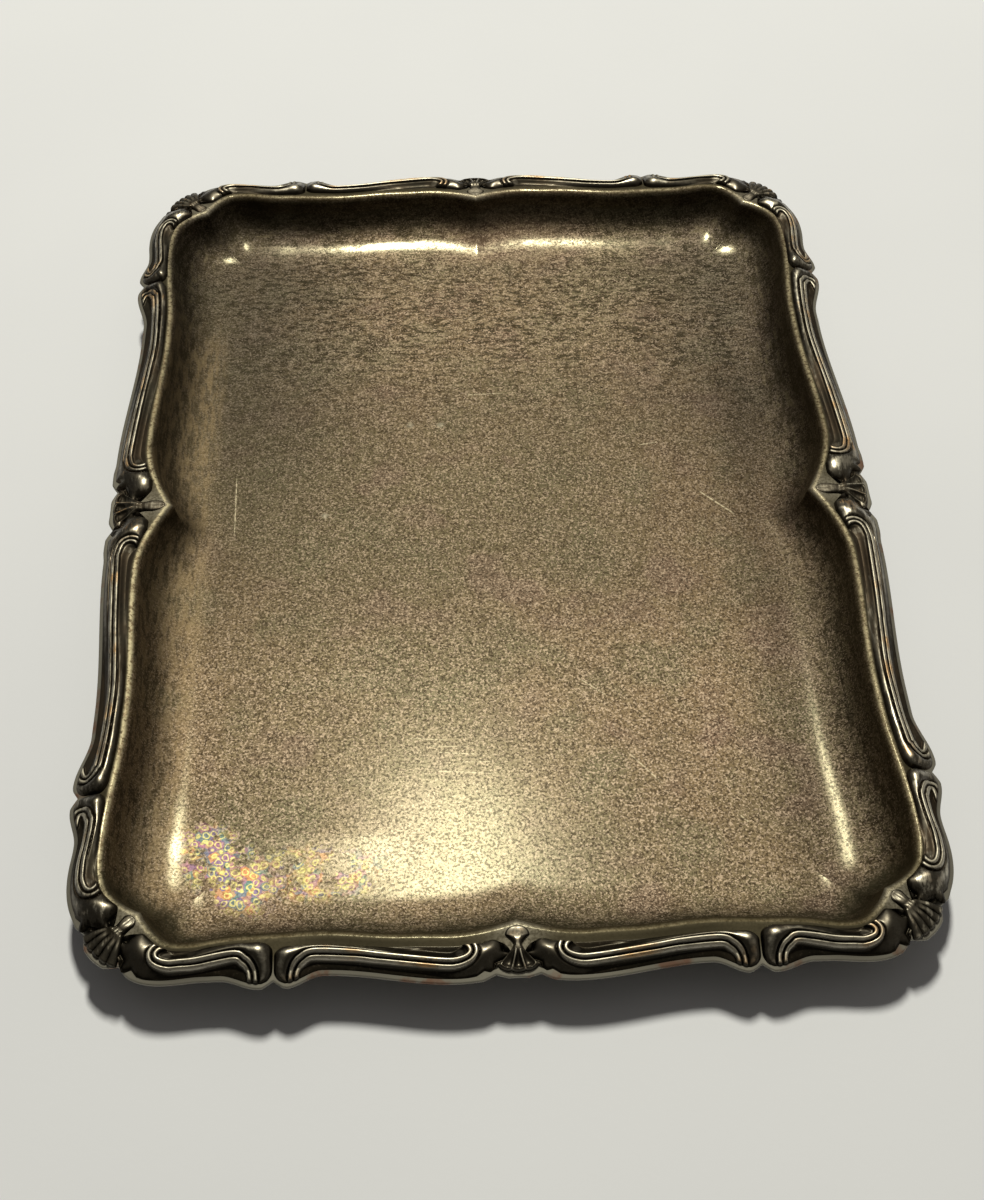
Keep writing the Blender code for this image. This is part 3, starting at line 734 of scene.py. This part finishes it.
def pan_material():
    """Old silver plate: dull and dark under a weak, tighter sheen, peppered
    with fine tarnish; oil-like rings of colour near one corner; painted
    shade on the front wall and a painted reddish reflection on the back wall."""
    g = Nodes("pan_tarnished_plate")
    across, cusp = g.attr("across"), g.attr("cusp")
    x, y, z = g.xyz()
    cloud = g.noise(15, 3, 0.55, seed=3)
    tint = g.noise(42, 3, 0.6, seed=21)
    patch = g.noise(75, 4, 0.62, seed=8)
    pepper = g.noise(1480, 3, 0.68, seed=1)
    mottle = g.noise(560, 3, 0.7, seed=23)
    clump = g.noise(760, 3, 0.7, stretch=(0.6, 1.0, 1.0), seed=6)
    fleck = g.noise(2050, 2, 0.65, seed=5)
    colour = g.mix(g.band(cloud, 0.36, 0.64), (0.170, 0.127, 0.070), (0.128, 0.110, 0.058))
    colour = g.mix(g.math('MULTIPLY', g.band(tint, 0.49, 0.64), 0.62), colour, (0.118, 0.116, 0.062))
    colour = g.mix(g.math('MULTIPLY', g.band(tint, 0.47, 0.33), 0.58), colour, (0.160, 0.106, 0.082))
    colour = g.mix(g.math('MULTIPLY', g.band(patch, 0.44, 0.70), 0.35), colour, (0.098, 0.076, 0.044))
    # back third of the floor, and every wall, carry short dark streaks
    wallz = g.band(z, 0.0013, 0.0030)
    back = g.math('MAXIMUM', g.band(y, 0.015, 0.085), wallz)
    clot = g.math('MULTIPLY', g.band(clump, 0.49, 0.57), g.band(g.noise(170, 2, 0.6, seed=17), 0.34, 0.54))
    streak = g.math('MULTIPLY', clot, g.math('ADD', 0.16, g.math('MULTIPLY', back, 0.74)))
    colour = g.mix(streak, colour, (0.032, 0.024, 0.012))
    light = g.math('MULTIPLY', g.band(clump, 0.49, 0.41), g.math('ADD', 0.10, g.math('MULTIPLY', back, 0.36)))
    colour = g.mix(light, colour, (0.30, 0.245, 0.155))
    colour = g.mix(g.math('MULTIPLY', g.band(mottle, 0.50, 0.62), 0.26), colour, (0.066, 0.047, 0.028))
    colour = g.mix(g.math('MULTIPLY', g.band(mottle, 0.48, 0.38), 0.20), colour, (0.30, 0.245, 0.160))
    dark = g.band(pepper, 0.49, 0.57)
    colour = g.mix(g.math('MULTIPLY', dark, 0.70), colour, (0.046, 0.032, 0.018))
    colour = g.mix(g.math('MULTIPLY', g.band(fleck, 0.52, 0.62), 0.72), colour, (0.47, 0.385, 0.27))
    # crisp short strokes on top of the grain, thickest towards the back
    fibre = g.noise(860, 3, 0.74, stretch=(0.34, 1.0, 1.0), seed=61)
    clumps = g.band(g.noise(120, 2, 0.6, seed=63), 0.38, 0.58, 0.45, 1.0)
    hairy = g.math('ADD', 0.10, g.math('MULTIPLY', g.math('MULTIPLY', back, g.math('SUBTRACT', 1.0, wallz)), 0.70))
    hairy = g.math('MULTIPLY', hairy, clumps)
    colour = g.mix(g.math('MULTIPLY', g.band(fibre, 0.530, 0.565), hairy), colour, (0.040, 0.034, 0.018))
    colour = g.mix(g.math('MULTIPLY', g.math('MULTIPLY', g.band(fibre, 0.450, 0.415), hairy), 0.55), colour, (0.27, 0.23, 0.145))
    tone = g.band(g.math('ABSOLUTE', g.math('ADD', y, -0.012)), 0.068, 0.030)
    colour = g.mix(g.math('MULTIPLY', tone, 0.24), colour, (0.045, 0.036, 0.022))
    colour = g.mix(1.0, colour, (0.94, 0.90, 0.98), 'MULTIPLY')
    # the back corners and the left edge of the floor are duller
    dull = g.math('MULTIPLY', g.band(g.math('ABSOLUTE', g.math('ADD', x, -0.006)), 0.022, 0.078), g.band(y, -0.03, 0.075))
    colour = g.mix(dull, colour, (0.52, 0.54, 0.59), 'MULTIPLY')
    west = g.math('MULTIPLY', g.band(x, -0.035, -0.075), g.band(y, -0.075, 0.0))
    colour = g.mix(g.math('MULTIPLY', west, 0.28), colour, (0.060, 0.050, 0.032))
    along_y = g.noise(640, 4, 0.68, stretch=(1.0, 0.22, 0.8), seed=41)
    along_x = g.noise(640, 4, 0.68, stretch=(0.22, 1.0, 0.8), seed=43)
    on_side = g.band(g.math('ABSOLUTE', x), 0.070, 0.076)
    runs = g.math('ADD', g.math('MULTIPLY', along_y, on_side), g.math('MULTIPLY', along_x, g.math('SUBTRACT', 1.0, on_side)))
    walls = g.math('MULTIPLY', wallz, 0.62)
    colour = g.mix(g.math('MULTIPLY', g.band(runs, 0.50, 0.60), walls), colour, (0.034, 0.027, 0.014))
    colour = g.mix(g.math('MULTIPLY', g.band(runs, 0.46, 0.36), g.math('MULTIPLY', walls, 0.45)), colour, (0.24, 0.20, 0.12))
    east = g.math('MULTIPLY', g.band(x, 0.058, 0.078), g.band(y, 0.075, 0.045))
    east = g.math('MULTIPLY', east, g.band(z, 0.0060, 0.0025))
    colour = g.mix(east, colour, (0.66, 0.66, 0.68), 'MULTIPLY')
    port = g.math('MULTIPLY', g.band(x, -0.0745, -0.0805), g.band(y, 0.095, 0.060))
    port = g.math('MULTIPLY', port, g.band(runs, 0.56, 0.44, 0.25, 1.0))
    colour = g.mix(g.math('MULTIPLY', port, 0.46), colour, (0.205, 0.150, 0.086))
    # painted shade: the front wall, which faces away from the lamp, is darkened to a dark olive
    front = g.math('MULTIPLY', g.band(y, -0.1085, -0.1150), g.band(z, 0.0016, 0.0042))
    colour = g.mix(g.math('MULTIPLY', front, 0.74), colour, (0.034, 0.032, 0.018))
    # painted reflection: a faint reddish tint low on the back wall stands in for the room reflected there
    painted_reflection_tint = g.math('MULTIPLY', g.band(g.math('ABSOLUTE', g.math('ADD', x, -0.008)), 0.030, 0.008), g.band(y, 0.1075, 0.1140))
    colour = g.mix(g.math('MULTIPLY', painted_reflection_tint, 0.22), colour, (0.150, 0.080, 0.066))
    high = g.band(z, 0.0030, 0.0105)
    high = g.math('MULTIPLY', high, g.band(x, -0.074, -0.080, 1.0, 0.05))
    colour = g.mix(g.math('MULTIPLY', high, 0.50), colour, (0.060, 0.044, 0.022))
    # light scuffs
    scuffs = None
    for seg in ((0.058, 0.012, 0.068, 0.002, 0.00030), (-0.071, 0.022, -0.0705, -0.002, 0.00022),
                (0.0306, -0.0752, 0.0385, -0.0851, 0.00022), (-0.006, 0.052, 0.006, 0.0525, 0.00022),
                (-0.0175, -0.0790, -0.0015, -0.0803, 0.00026), (-0.0170, -0.0735, -0.0060, -0.0745, 0.00020),
                (-0.0240, -0.0690, -0.0135, -0.0700, 0.00020), (-0.0120, -0.0765, -0.0020, -0.0768, 0.00018),
                (-0.0200, -0.0715, -0.0080, -0.0722, 0.00016), (0.0559, -0.0943, 0.0580, -0.0965, 0.00025),
                (0.020, -0.052, 0.027, -0.058, 0.00020), (0.043, 0.030, 0.049, 0.031, 0.00022)):
        one = g.scratch(*seg)
        scuffs = one if scuffs is None else g.math('MAXIMUM', scuffs, one)
    scuffs = g.math('MULTIPLY', scuffs, g.band(pepper, 0.60, 0.44, 0.25, 0.75))
    colour = g.mix(scuffs, colour, (0.42, 0.37, 0.27))
    blots = None
    for bx, by in ((-0.0221, 0.0403), (-0.0134, 0.0400), (-0.046, 0.006)):
        dx, dy = g.math('SUBTRACT', x, bx), g.math('SUBTRACT', y, by)
        r2 = g.math('ADD', g.math('MULTIPLY', dx, dx), g.math('MULTIPLY', dy, dy))
        one = g.band(g.math('ADD', g.math('SQRT', r2), g.math('MULTIPLY', mottle, 0.0022)), 0.0026, 0.0012)
        blots = one if blots is None else g.math('MAXIMUM', blots, one)
    colour = g.mix(g.math('MULTIPLY', blots, 0.38), colour, (0.40, 0.37, 0.30))
    # rings of interference colour
    vor = g.tree.nodes.new("ShaderNodeTexVoronoi")
    vor.inputs["Scale"].default_value = 540
    shove = g.tree.nodes.new("ShaderNodeVectorMath")
    shove.operation = 'MULTIPLY_ADD'
    g.link(g.noise(330, 2, 0.5, seed=51, colour=True), shove.inputs[0])
    shove.inputs[1].default_value = (0.0021, 0.0021, 0.0)
    g.tree.links.new(g.coord, shove.inputs[2])
    g.tree.links.new(shove.outputs[0], vor.inputs["Vector"])
    ring = g.math('MULTIPLY', g.band(vor.outputs["Distance"], 0.26, 0.36), g.band(vor.outputs["Distance"], 0.54, 0.43))
    pick = g.tree.nodes.new("ShaderNodeSeparateColor")
    g.tree.links.new(vor.outputs["Color"], pick.inputs[0])
    hue = g.ramp(pick.outputs[0], (0.0, (0.21, 0.15, 0.07)), (0.22, (0.17, 0.075, 0.12)), (0.42, (0.080, 0.065, 0.13)),
                 (0.60, (0.06, 0.115, 0.105)), (0.78, (0.27, 0.12, 0.055)), (1.0, (0.13, 0.14, 0.065)))
    film = g.mix(g.math('MULTIPLY', ring, 0.80), hue, (0.36, 0.33, 0.115))
    dx, dy = g.math('ADD', x, 0.0675), g.math('ADD', y, 0.1045)
    eu = g.math('DIVIDE', g.math('SUBTRACT', g.math('MULTIPLY', dx, 0.66), g.math('MULTIPLY', dy, 0.75)), 0.0165)
    ev = g.math('DIVIDE', g.math('ADD', g.math('MULTIPLY', dx, 0.75), g.math('MULTIPLY', dy, 0.66)), 0.0092)
    away = g.math('ADD', g.math('MULTIPLY', eu, eu), g.math('MULTIPLY', ev, ev))
    breakup = g.noise(170, 3, 0.65, seed=31)
    mask = g.math('MULTIPLY', g.band(away, 1.25, 0.25), g.band(breakup, 0.36, 0.50))
    ex2 = g.math('DIVIDE', g.math('ADD', x, 0.046), 0.022)
    ey2 = g.math('DIVIDE', g.math('ADD', y, 0.1065), 0.0085)
    away2 = g.math('ADD', g.math('MULTIPLY', ex2, ex2), g.math('MULTIPLY', ey2, ey2))
    mask = g.math('MAXIMUM', mask, g.math('MULTIPLY', g.math('MULTIPLY', g.band(away2, 1.2, 0.2), g.band(breakup, 0.44, 0.56)), 0.75))
    colour = g.mix(g.math('MULTIPLY', mask, 0.9), colour, film)
    # flange: dark between the castings, brighter on the cusps and the sheet edge
    under = g.band(across, -0.80, -0.97)
    top = g.math('SUBTRACT', 1.0, under)
    on_flange = g.band(across, FLANGE_END + 0.02, FLANGE_END)
    on_flange = g.math('MULTIPLY', on_flange, g.math('SUBTRACT', 1.0, g.math('MULTIPLY', under, 0.60)))
    colour = g.mix(g.math('MULTIPLY', on_flange, 0.90), colour, (0.070, 0.060, 0.038))
    # the lighter flange by each cusp is rubbed metal and partly a painted highlight
    key = g.math('MULTIPLY', g.math('MULTIPLY', cusp, top), g.band(across, LIP_END + 0.03, LIP_END))
    colour = g.mix(g.math('MULTIPLY', g.math('MULTIPLY', key, g.band(pepper, 0.62, 0.42, 0.45, 1.0)), 0.55), colour, (0.36, 0.33, 0.27))
    rim = g.math('MULTIPLY', top, g.band(across, EDGE_END + 0.04, EDGE_END - 0.02))
    colour = g.mix(g.math('MULTIPLY', rim, 0.8), colour, (0.34, 0.325, 0.285))
    colour = g.mix(g.math('MULTIPLY', g.math('MULTIPLY', rim, g.band(patch, 0.54, 0.64)), 0.75), colour, (0.22, 0.10, 0.06))
    lip = g.math('MULTIPLY', g.band(across, FLANGE_END - 0.01, FLANGE_END + 0.02), g.band(across, LIP_END, LIP_END - 0.05))
    sides = g.math('ADD', 0.30, g.math('MULTIPLY', g.band(g.math('ABSOLUTE', x), 0.074, 0.088), 0.55))
    sides = g.math('MULTIPLY', sides, g.math('ADD', 0.45, g.math('MULTIPLY', g.band(y, -0.118, -0.108), 0.55)))
    flaky = g.math('MULTIPLY', g.band(g.noise(950, 3, 0.7, seed=14), 0.60, 0.45, 0.10, 1.0), g.band(g.noise(95, 3, 0.6, seed=16), 0.66, 0.42, 0.35, 1.0))
    rub = g.math('MULTIPLY', g.math('MULTIPLY', lip, sides), flaky)
    rub = g.math('MULTIPLY', rub, g.band(x, -0.074, -0.086, 1.0, 1.4), clamp=True)
    rub = g.math('MULTIPLY', rub, g.band(x, 0.066, 0.078, 1.0, 0.60))
    worn = g.math('MULTIPLY', g.band(y, 0.0, 0.045), g.band(x, -0.060, -0.074))
    rub = g.math('MULTIPLY', rub, g.math('SUBTRACT', 1.0, g.math('MULTIPLY', worn, 0.50)))
    colour = g.mix(rub, colour, (0.34, 0.30, 0.20))
    g.link(colour, g.bsdf.inputs["Base Color"])
    g.bsdf.inputs["Metallic"].default_value = 1.0
    rough = g.math('ADD', 0.60, g.math('MULTIPLY', g.band(pepper, 0.42, 0.70), 0.10))
    rough = g.math('SUBTRACT', rough, g.math('MULTIPLY', mask, 0.14))
    g.link(rough, g.bsdf.inputs["Roughness"])
    hgt = g.math('ADD', g.math('MULTIPLY', pepper, 0.6), g.math('MULTIPLY', fleck, 0.4))
    g.link(g.bump(hgt, 0.22, 0.00005), g.bsdf.inputs["Normal"])
    sheen = g.math('MULTIPLY', g.math('SUBTRACT', 1.0, g.math('MULTIPLY', dark, 0.6)), PAN_GLOSS)
    sheen = g.math('MULTIPLY', sheen, g.math('SUBTRACT', 1.0, g.math('MULTIPLY', streak, 0.6)))
    sheen = g.math('MULTIPLY', sheen, g.math('SUBTRACT', 1.0, g.math('MULTIPLY', mask, 0.72)))
    heel = g.math('MULTIPLY', g.band(y, 0.100, 0.106), g.band(g.math('ABSOLUTE', x), 0.066, 0.052))
    sheen = g.math('MULTIPLY', sheen, g.math('ADD', 1.0, g.math('MULTIPLY', heel, g.math('ADD', 2.8, g.math('MULTIPLY', g.band(x, -0.004, 0.004), 4.2)))))
    nooks = g.math('MULTIPLY', g.band(y, 0.090, 0.096), g.band(g.math('ABSOLUTE', x), 0.056, 0.062))
    sheen = g.math('MULTIPLY', sheen, g.math('ADD', 1.0, g.math('MULTIPLY', nooks, 3.0)))
    left = g.math('MULTIPLY', g.band(x, -0.066, -0.070), g.band(y, -0.0935, -0.082))
    sheen = g.math('MULTIPLY', sheen, g.math('SUBTRACT', 1.0, g.math('MULTIPLY', left, 0.70)))
    spot = g.math('MULTIPLY', g.band(x, -0.068, -0.072), g.band(g.math('ABSOLUTE', g.math('ADD', y, 0.0985)), 0.0052, 0.0010))
    sheen = g.math('MULTIPLY', sheen, g.math('ADD', 1.0, g.math('MULTIPLY', spot, 1.9)))
    wake = g.math('MULTIPLY', g.band(g.math('ABSOLUTE', g.math('ADD', x, 0.046)), 0.024, 0.010),
                  g.band(g.math('ABSOLUTE', g.math('ADD', y, 0.1020)), 0.0075, 0.0030))
    sheen = g.math('MULTIPLY', sheen, g.math('ADD', 1.0, g.math('MULTIPLY', wake, 1.25)))
    g.polished(sheen, (1.0, 0.93, 0.66), PAN_GLOSS_ROUGH, g.bump(hgt, 0.10, 0.00005))
    return g.mat


def casting_material(name, shift=0.0):
    """Cast border: dark in the hollows, rubbed bright on the reeds and rolls; painted shade makes the front side's
    hollows near-black.
    """
    g = Nodes(name)
    wear, polish = g.attr("wear"), g.attr("polish")
    cloud = g.noise(60, 3, 0.55, seed=11 + shift)
    grain = g.noise(620, 3, 0.6, seed=4 + shift)
    spots = g.noise(1500, 2, 0.6, seed=7 + shift)
    dark = g.mix(g.band(cloud, 0.35, 0.65), (0.032, 0.028, 0.021), (0.048, 0.036, 0.025))
    mid = g.mix(g.band(grain, 0.4, 0.62), (0.125, 0.112, 0.090), (0.080, 0.069, 0.054))
    bronze = g.noise(85, 3, 0.6, seed=19 + shift)
    bright = g.mix(g.band(bronze, 0.50, 0.68), (0.47, 0.435, 0.36), (0.47, 0.30, 0.15))
    x, y, z = g.xyz()
    brush = g.noise(900, 3, 0.65, stretch=(1.0, 0.14, 1.0), seed=23 + shift)
    on_side = g.band(g.math('ABSOLUTE', x), 0.086, 0.092)
    w = g.math('ADD', wear, g.math('MULTIPLY', g.math('SUBTRACT', grain, 0.5), 0.5))
    w = g.math('ADD', w, g.math('MULTIPLY', g.math('MULTIPLY', g.math('SUBTRACT', brush, 0.5), 1.7), on_side))
    # the left side is duller than the rest
    w = g.math('SUBTRACT', w, g.math('MULTIPLY', g.band(x, -0.080, -0.092), 0.17))
    # painted shade: on the front side the hollows and mid tones are made near-black, as they face the viewer and
    # reflect only the dark room
    front = g.math('MULTIPLY', g.band(y, -0.116, -0.126), 0.80)
    dark = g.mix(front, dark, (0.007, 0.006, 0.004))
    mid = g.mix(g.math('MULTIPLY', front, 0.45), mid, (0.020, 0.017, 0.012))
    colour = g.mix(g.band(w, 0.08, 0.42), dark, mid)
    colour = g.mix(g.band(w, 0.55, 0.95), colour, bright)
    colour = g.mix(g.math('MULTIPLY', g.band(spots, 0.58, 0.70), 0.5), colour, (0.045, 0.036, 0.026))
    g.link(colour, g.bsdf.inputs["Base Color"])
    g.bsdf.inputs["Metallic"].default_value = 1.0
    rough = g.math('SUBTRACT', g.math('ADD', 0.42, g.math('MULTIPLY', g.band(grain, 0.4, 0.7), 0.14)),
                   g.math('MULTIPLY', polish, 0.10))
    soft = g.math('MULTIPLY', on_side, g.math('SUBTRACT', 1.0, polish))
    rough = g.math('ADD', rough, g.math('MULTIPLY', soft, 0.08))
    g.link(rough, g.bsdf.inputs["Roughness"])
    g.link(g.bump(grain, 0.16, 0.00008), g.bsdf.inputs["Normal"])
    share = g.math('ADD', 0.005, g.math('MULTIPLY', wear, 0.024))
    g.polished(g.math('MULTIPLY', share, g.math('SUBTRACT', 1.0, g.math('MULTIPLY', soft, 0.55))), (1.0, 0.94, 0.78), 0.19)
    return g.mat


def floor_material():
    g = Nodes("pale_table")
    soft = g.noise(6, 3, 0.5, seed=2)
    fine = g.noise(420, 3, 0.6, seed=9)
    colour = g.mix(g.band(soft, 0.3, 0.7), (0.745, 0.765, 0.845), (0.77, 0.790, 0.870))
    g.link(colour, g.bsdf.inputs["Base Color"])
    g.bsdf.inputs["Roughness"].default_value = 0.85
    g.bsdf.inputs["Specular IOR Level"].default_value = 0.15
    g.link(g.bump(fine, 0.12, 0.0002), g.bsdf.inputs["Normal"])
    return g.mat


# ------------------------------------------------------------------ build it all
pan = rebuild_pan()
pan.data.materials.append(pan_material())

LR, FB = {-1: "left", 1: "right"}, {-1: "front", 1: "back"}
scroll_kinds = (
    (True, False, 5.4, lambda sx, sy: "long_scroll_%s_%s" % (LR[sx], FB[sy])),
    (False, False, 4.3, lambda sx, sy: "end_scroll_%s_%s" % (FB[sy], LR[sx])),
    (True, True, 6.0, lambda sx, sy: "corner_scroll_%s_%s" % (LR[sx], FB[sy])),
    (False, True, 4.8, lambda sx, sy: "corner_scroll_%s_%s" % (FB[sy], LR[sx])),
)
for side, corner, bulb, name_of in scroll_kinds:
    co, faces, attrs = scroll_shape(side, corner, bulb)
    quarter_copies(name_of, co, 0, faces, attrs)

for side, sign, node in ((True, -1, "side_shell_left"), (True, 1, "side_shell_right"),
                         (False, -1, "side_shell_front"), (False, 1, "side_shell_back")):
    notch = SIDE_NOTCH if side else END_NOTCH
    inner, outer = float(inner_offset(side, 0.0)), float(outer_offset(side, 0.0))

    def place(a, t, side=side, sign=sign):
        under = flange_top(side, np.abs(a), t)
        if side:
            return sign * (GUIDE_HALF_W + t), a, under
        return a, sign * (GUIDE_HALF_L + t), under

    co, faces, attrs = shell_shape(inner + 1.2, -5.1 if side else -3.9, outer - 0.9, 1.9 if side else 2.75,
                                   notch - 0.30, 3, False, place, 0.66 if node.endswith("front") else 0.40)
    casting(node, co, faces, attrs)

h = math.sqrt(0.5)
for sx in (-1, 1):
    for sy in (-1, 1):
        def place(a, t, sx=sx, sy=sy):
            r = GUIDE_R + t
            return (sx * (GUIDE_HALF_W - GUIDE_R + h * r - h * a),
                    sy * (GUIDE_HALF_L - GUIDE_R + h * r + h * a),
                    flange_top(True, SIDE_DIAG - np.abs(a), t))

        co, faces, attrs = shell_shape(float(inner_offset(True, SIDE_DIAG)) + 1.2, -3.1,
                                       float(outer_offset(True, SIDE_DIAG)) - 0.9, 1.75, 5.6, 5, True, place)
        casting("corner_shell_%s_%s" % (FB[sy], LR[sx]), co, faces, attrs)

cast_mat = casting_material("border_tarnished_plate")
for ob in castings:
    ob.data.materials.append(cast_mat)

# ------------------------------------------------------------------ stage
bpy.ops.mesh.primitive_plane_add(size=6.0, location=(0, 0, -0.0002))
table = bpy.context.object
table.name = "pale_floor"
table.data.materials.append(floor_material())

world = bpy.data.worlds.new("soft_room")
bpy.context.scene.world = world
world.use_nodes = True
wt = world.node_tree
wt.nodes.clear()
wo = wt.nodes.new("ShaderNodeOutputWorld")
bg = wt.nodes.new("ShaderNodeBackground")
tc = wt.nodes.new("ShaderNodeTexCoord")
sep = wt.nodes.new("ShaderNodeSeparateXYZ")
wt.links.new(tc.outputs["Generated"], sep.inputs[0])


def wmath(op, a, b):
    n = wt.nodes.new("ShaderNodeMath")
    n.operation = op
    for i, v in enumerate((a, b)):
        if isinstance(v, (int, float)):
            n.inputs[i].default_value = v
        else:
            wt.links.new(v, n.inputs[i])
    return n.outputs[0]


# brighter overhead and behind the tray, darker towards the viewer
lean = wmath('ADD', wmath('MULTIPLY', sep.outputs[1], 0.55), wmath('MULTIPLY', sep.outputs[2], 0.75))
wr = wt.nodes.new("ShaderNodeValToRGB")
wr.color_ramp.elements[0].position = 0.0
wr.color_ramp.elements[0].color = (0.075, 0.070, 0.056, 1)
wr.color_ramp.elements[1].position = 0.95
wr.color_ramp.elements[1].color = (0.125, 0.12, 0.11, 1)
e = wr.color_ramp.elements.new(0.45)
e.color = (0.080, 0.075, 0.066, 1)
wt.links.new(lean, wr.inputs[0])
east = wt.nodes.new("ShaderNodeMapRange")       # a paler wall on the right
east.interpolation_type = 'SMOOTHSTEP'
for key, val in (("From Min", 0.25), ("From Max", 0.95), ("To Min", 0.0), ("To Max", 1.0)):
    east.inputs[key].default_value = val
wt.links.new(sep.outputs[0], east.inputs["Value"])
wm = wt.nodes.new("ShaderNodeMix")
wm.data_type = 'RGBA'
wt.links.new(east.outputs[0], wm.inputs[0])
wt.links.new(wr.outputs[0], wm.inputs[6])
wm.inputs[7].default_value = (0.21, 0.195, 0.165, 1)
wt.links.new(wm.outputs[2], bg.inputs[0])
bg.inputs[1].default_value = 1.0
wt.links.new(bg.outputs[0], wo.inputs[0])


def area_light(name, direction, distance, size, power, colour, target=(0, 0, 0.01)):
    data = bpy.data.lights.new(name, 'AREA')
    data.shape = 'ELLIPSE'
    data.size, data.size_y = size
    data.energy = power
    data.color = colour
    ob = bpy.data.objects.new(name, data)
    d = Vector(direction).normalized()
    ob.location = Vector(target) + d * distance
    ob.rotation_euler = d.to_track_quat('Z', 'Y').to_euler()
    bpy.context.scene.collection.objects.link(ob)
    return ob


el = math.radians(64.1)
area_light("key_lamp", (-0.004, math.cos(el), math.sin(el)), 2.0, (0.22, 0.38), 37.0, (1.0, 0.965, 0.80))

# ------------------------------------------------------------------ camera
HALF = 140.0
focal_px = 1710.7
C = Vector((-0.11035 * HALF, -2.21775 * HALF, 2.44936 * HALF + EDGE_Z)) * MM
right = Vector((0.9991108, -0.0415650, 0.0070630))
down = Vector((-0.0279085, -0.7775868, -0.6281560))
fwd = Vector((0.0316014, 0.6274003, -0.7780554))
cam = bpy.data.cameras.new("camera")
cam.sensor_width = 36.0
cam.lens = 36.0 * focal_px / 1200.0
cam.clip_start = 0.01
cob = bpy.data.objects.new("camera", cam)
m = Matrix((
    (right.x, -down.x, -fwd.x, C.x),
    (right.y, -down.y, -fwd.y, C.y),
    (right.z, -down.z, -fwd.z, C.z),
    (0, 0, 0, 1)))
cob.matrix_world = m
bpy.context.scene.collection.objects.link(cob)
bpy.context.scene.camera = cob
bpy.context.scene.view_settings.view_transform = 'Standard'
